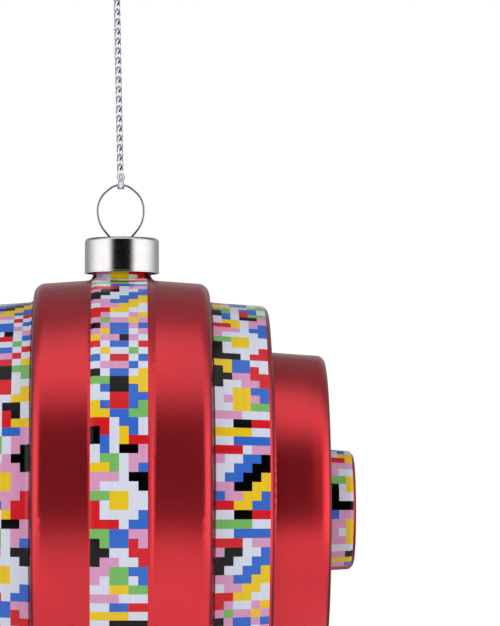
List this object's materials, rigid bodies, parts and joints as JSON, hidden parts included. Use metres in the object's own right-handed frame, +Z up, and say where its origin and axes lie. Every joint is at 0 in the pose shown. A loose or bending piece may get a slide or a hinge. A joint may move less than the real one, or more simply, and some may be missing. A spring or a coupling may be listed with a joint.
{
  "type": "christmas ornament",
  "caption": "Blown-glass hanging ornament of stepped discs on a level axis, with printed bands, a metal cap, a sprung wire eye and a twisted cord.",
  "frame": {"origin": "inside of the top of the hanging loop, where a hook carries it", "axes": "+Z up along the cord, +X along the axis of the discs, towards the right end face; the ball hangs below the origin"},
  "size_m": [0.0792, 0.0794, 0.1503],
  "materials": {
    "lacquered_glass": "silvered inside, translucent red lacquer outside, satin metallic",
    "print_film": "printed film, semi-gloss",
    "satin_nickel": "satin nickel plate on drawn sheet",
    "spring_wire": "drawn spring wire",
    "metallic_cord": "two plies of silver metallic thread"
  },
  "bodies": {
    "cord": {"hanging_loop": "metallic_cord", "top_knot": "metallic_cord", "cord": "metallic_cord"},
    "hitch": {"cord_hitch": "metallic_cord"},
    "hanger": {"hanger_wire": "spring_wire"},
    "cap": {"cap": "satin_nickel"},
    "ball": {"glass_body": "lacquered_glass", "centre_print_band": "print_film", "inner_print_band_left": "print_film", "inner_print_band_right": "print_film", "end_print_band_left": "print_film", "end_print_band_right": "print_film"}
  },
  "joints": [
    {"name": "cord_turn", "type": "hinge", "parent": "cord", "child": "hitch", "pos_m": [-0.00022, 0, -0.05196], "axis": [0, 0, 1], "continuous": true},
    {"name": "ring_swing", "type": "hinge", "parent": "hitch", "child": "hanger", "pos_m": [-0.00022, 0, -0.05388], "axis": [1, 0, 0], "range_deg": [-90, 90]},
    {"name": "hanger_rock", "type": "hinge", "parent": "hanger", "child": "cap", "pos_m": [-0.00022, 0, -0.06328], "axis": [1, 0, 0], "range_deg": [-8, 8]},
    {"name": "cap_pull", "type": "slide", "parent": "cap", "child": "ball", "axis": [0, 0, -1], "range_m": [0, 0.014]}
  ]
}
